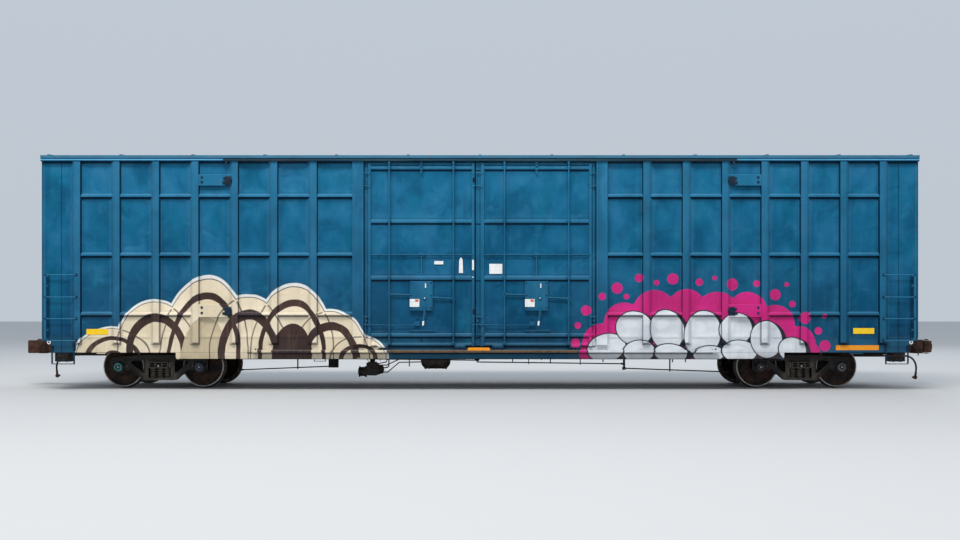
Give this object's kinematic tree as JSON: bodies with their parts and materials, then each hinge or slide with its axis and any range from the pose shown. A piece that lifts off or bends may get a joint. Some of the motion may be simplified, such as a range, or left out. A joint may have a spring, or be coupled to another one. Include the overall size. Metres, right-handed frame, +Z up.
{
  "type": "railroad boxcar",
  "caption": "High-cube railroad boxcar with outside-post sides, double plug doors, corrugated ends and swivelling trucks on rolling wheelsets.",
  "frame": {"origin": "car centre, on the level of the lowest points of the wheel flanges", "axes": "+X along the car towards the B (hand brake) end, +Z up, the side seen in the picture faces -Y"},
  "size_m": [20.816, 3.25, 5.2268],
  "materials": {
    "body_paint": "weathered satin blue enamel",
    "roof_steel": "chalky blue paint with rust at the seams",
    "rusty_track": "worn to rust brown",
    "underframe_steel": "matt dark grey with road dirt",
    "floor_steel": "worn dark steel plank floor",
    "galvanised": "dull galvanised",
    "brake_steel": "dirty black",
    "cast_coupler": "rusty cast steel",
    "cast_truck": "grey-brown cast steel with road dirt",
    "spring_steel": "dusty dark steel",
    "bearing_steel": "dark steel, painted end caps",
    "wheel_steel": "rust brown plate, polished rim and tread",
    "axle_steel": "dark oxide",
    "hose_rubber": "matt black rubber"
  },
  "bodies": {
    "car_body": {"air_reservoir": "brake_steel", "brake_cylinder": "brake_steel", "brake_hose_a": "hose_rubber", "brake_hose_b": "hose_rubber", "brake_levers": "brake_steel", "brake_pipe": "brake_steel", "centre_sill": "underframe_steel", "control_valve": "brake_steel", "corner_panels": "body_paint", "coupler_knuckles": "cast_coupler", "couplers": "cast_coupler", "crossmembers": "underframe_steel", "crossover_platforms": "galvanised", "door_gearboxes": "body_paint", "door_lock_bars": "body_paint", "end_ladders": "body_paint", "end_wall_a": "body_paint", "end_wall_b": "body_paint", "floor": "floor_steel", "glad_hand_a": "cast_coupler", "glad_hand_b": "cast_coupler", "hand_brake": "body_paint", "lower_door_tracks": "rusty_track", "plug_door_far_left": "body_paint", "plug_door_far_right": "body_paint", "plug_door_near_left": "body_paint", "plug_door_near_right": "body_paint", "roof": "roof_steel", "side_ladders": "body_paint", "side_sills": "body_paint", "side_wall_far": "body_paint", "side_wall_near": "body_paint", "sill_steps": "body_paint", "top_chords": "body_paint", "uncoupling_levers": "brake_steel", "upper_door_tracks": "body_paint"},
    "truck_a": {"truck_a_bearings": "bearing_steel", "truck_a_bolster": "cast_truck", "truck_a_brake_beams": "cast_truck", "truck_a_side_frames": "cast_truck", "truck_a_springs": "spring_steel"},
    "truck_b": {"truck_b_bearings": "bearing_steel", "truck_b_bolster": "cast_truck", "truck_b_brake_beams": "cast_truck", "truck_b_side_frames": "cast_truck", "truck_b_springs": "spring_steel"},
    "wheelset_1": {"wheels_1": "wheel_steel", "axle_1": "axle_steel"},
    "wheelset_2": {"wheels_2": "wheel_steel", "axle_2": "axle_steel"},
    "wheelset_3": {"wheels_3": "wheel_steel", "axle_3": "axle_steel"},
    "wheelset_4": {"wheels_4": "wheel_steel", "axle_4": "axle_steel"}
  },
  "joints": [
    {"name": "truck_a_swivel", "type": "hinge", "parent": "car_body", "child": "truck_a", "pos_m": [-7.0485, 0, 0.681], "axis": [0, 0, 1], "range_deg": [-8, 8]},
    {"name": "truck_b_swivel", "type": "hinge", "parent": "car_body", "child": "truck_b", "pos_m": [7.0485, 0, 0.681], "axis": [0, 0, 1], "range_deg": [-8, 8]},
    {"name": "wheelset_1_roll", "type": "hinge", "parent": "truck_a", "child": "wheelset_1", "pos_m": [-7.9375, 0, 0.4825], "axis": [0, 1, 0], "continuous": true},
    {"name": "wheelset_2_roll", "type": "hinge", "parent": "truck_a", "child": "wheelset_2", "pos_m": [-6.1595, 0, 0.4825], "axis": [0, 1, 0], "continuous": true},
    {"name": "wheelset_3_roll", "type": "hinge", "parent": "truck_b", "child": "wheelset_3", "pos_m": [6.1595, 0, 0.4825], "axis": [0, 1, 0], "continuous": true},
    {"name": "wheelset_4_roll", "type": "hinge", "parent": "truck_b", "child": "wheelset_4", "pos_m": [7.9375, 0, 0.4825], "axis": [0, 1, 0], "continuous": true}
  ]
}
